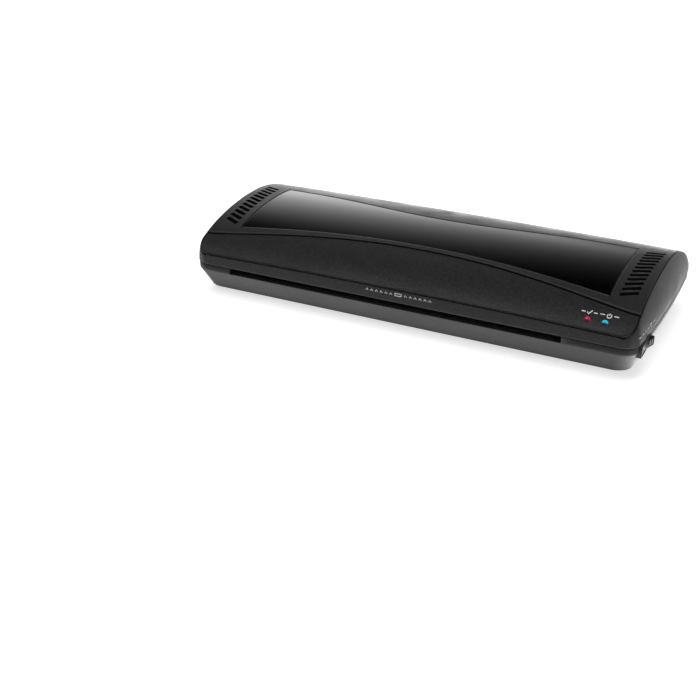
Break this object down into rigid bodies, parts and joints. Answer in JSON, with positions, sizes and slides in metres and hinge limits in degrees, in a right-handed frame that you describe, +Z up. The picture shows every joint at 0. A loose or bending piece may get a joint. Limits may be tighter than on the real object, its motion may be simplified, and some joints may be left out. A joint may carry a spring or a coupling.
{
  "type": "pouch laminator",
  "caption": "Flat desktop laminator: a pouch is fed through the front slot, heated and pressed between geared rollers, and leaves at the rear.",
  "frame": {"origin": "centre of the whole object's bounding box in plan, at the level of the feet's undersides on the desk", "axes": "+X across the machine towards the side with the rocker switch, +Y from the feed slot at the front to the exit slot and cord at the rear, +Z up"},
  "size_m": [0.3184, 0.183, 0.0518],
  "materials": {
    "black_abs": "fine textured black",
    "fascia_abs": "coarser textured black",
    "gloss_black": "polished black",
    "ready_lens": "translucent red lens",
    "power_lens": "translucent blue lens",
    "circuit_board": "green solder mask",
    "brass": "bright",
    "steel": "zinc plated",
    "nylon": "natural nylon",
    "silicone": "ground silicone",
    "aluminium": "extruded",
    "mica": "wound mica strip",
    "rubber": "satin black"
  },
  "bodies": {
    "casing": {"lower_casing": "black_abs", "upper_frame": "black_abs", "top_cover": "black_abs", "switch_housing": "black_abs", "thermostat": "black_abs", "entry_guide_lower": "black_abs", "entry_guide_upper": "black_abs", "exit_guide_lower": "black_abs", "exit_guide_upper": "black_abs", "front_fascia": "fascia_abs", "gloss_panel": "gloss_black", "ready_light": "ready_lens", "power_light": "power_lens", "light_board": "circuit_board", "switch_terminal_live": "brass", "switch_terminal_load": "brass", "plug_pin_near": "brass", "plug_pin_far": "brass", "left_side_plate": "steel", "left_pressure_spring": "steel", "right_side_plate": "steel", "right_pressure_spring": "steel", "plate_screw_1": "steel", "plate_screw_2": "steel", "thermal_fuse": "steel", "idler_pin": "steel", "motor_bracket": "steel", "motor_can": "steel", "motor_post_1": "steel", "motor_post_2": "steel", "case_screw_1": "steel", "case_screw_2": "steel", "case_screw_3": "steel", "case_screw_4": "steel", "left_lower_bush": "nylon", "left_upper_bush": "nylon", "right_lower_bush": "nylon", "right_upper_bush": "nylon", "upper_heating_shoe": "aluminium", "lower_reflector": "aluminium", "heater_strip": "mica", "rubber_foot_1": "rubber", "rubber_foot_2": "rubber", "rubber_foot_3": "rubber", "rubber_foot_4": "rubber", "strain_relief": "rubber", "mains_cord": "rubber", "cord_tie": "rubber", "plug_body": "rubber", "mains_lead": "rubber"},
    "lower_roller": {"lower_roller_sleeve": "silicone", "lower_roller_shaft": "steel", "lower_roller_gear": "nylon"},
    "upper_roller": {"upper_roller_sleeve": "silicone", "upper_roller_shaft": "steel", "upper_roller_gear": "nylon"},
    "idler": {"idler_gear": "nylon"},
    "motor_rotor": {"motor_pinion": "nylon", "motor_shaft": "steel"},
    "rocker": {"power_rocker": "black_abs"}
  },
  "joints": [
    {"name": "lower_roller_spin", "type": "hinge", "parent": "casing", "child": "lower_roller", "pos_m": [0, -0.0165, 0.0145], "axis": [1, 0, 0], "continuous": true},
    {"name": "upper_roller_spin", "type": "hinge", "parent": "casing", "child": "upper_roller", "pos_m": [0, -0.0165, 0.0275], "axis": [1, 0, 0], "continuous": true},
    {"name": "idler_spin", "type": "hinge", "parent": "casing", "child": "idler", "pos_m": [0.1225, -0.00222, 0.01702], "axis": [1, 0, 0], "continuous": true},
    {"name": "motor_spin", "type": "hinge", "parent": "casing", "child": "motor_rotor", "pos_m": [0.1225, 0.0099, 0.02402], "axis": [1, 0, 0], "continuous": true},
    {"name": "rocker_tilt", "type": "hinge", "parent": "casing", "child": "rocker", "pos_m": [0.1534, -0.07, 0.0179], "axis": [0, 0, 1], "range_deg": [0, 16]}
  ],
  "couplings": [
    {"joint": "upper_roller_spin", "follows": "lower_roller_spin", "ratio": -1},
    {"joint": "idler_spin", "follows": "lower_roller_spin", "ratio": -0.8125},
    {"joint": "motor_spin", "follows": "lower_roller_spin", "ratio": 1.0833}
  ]
}
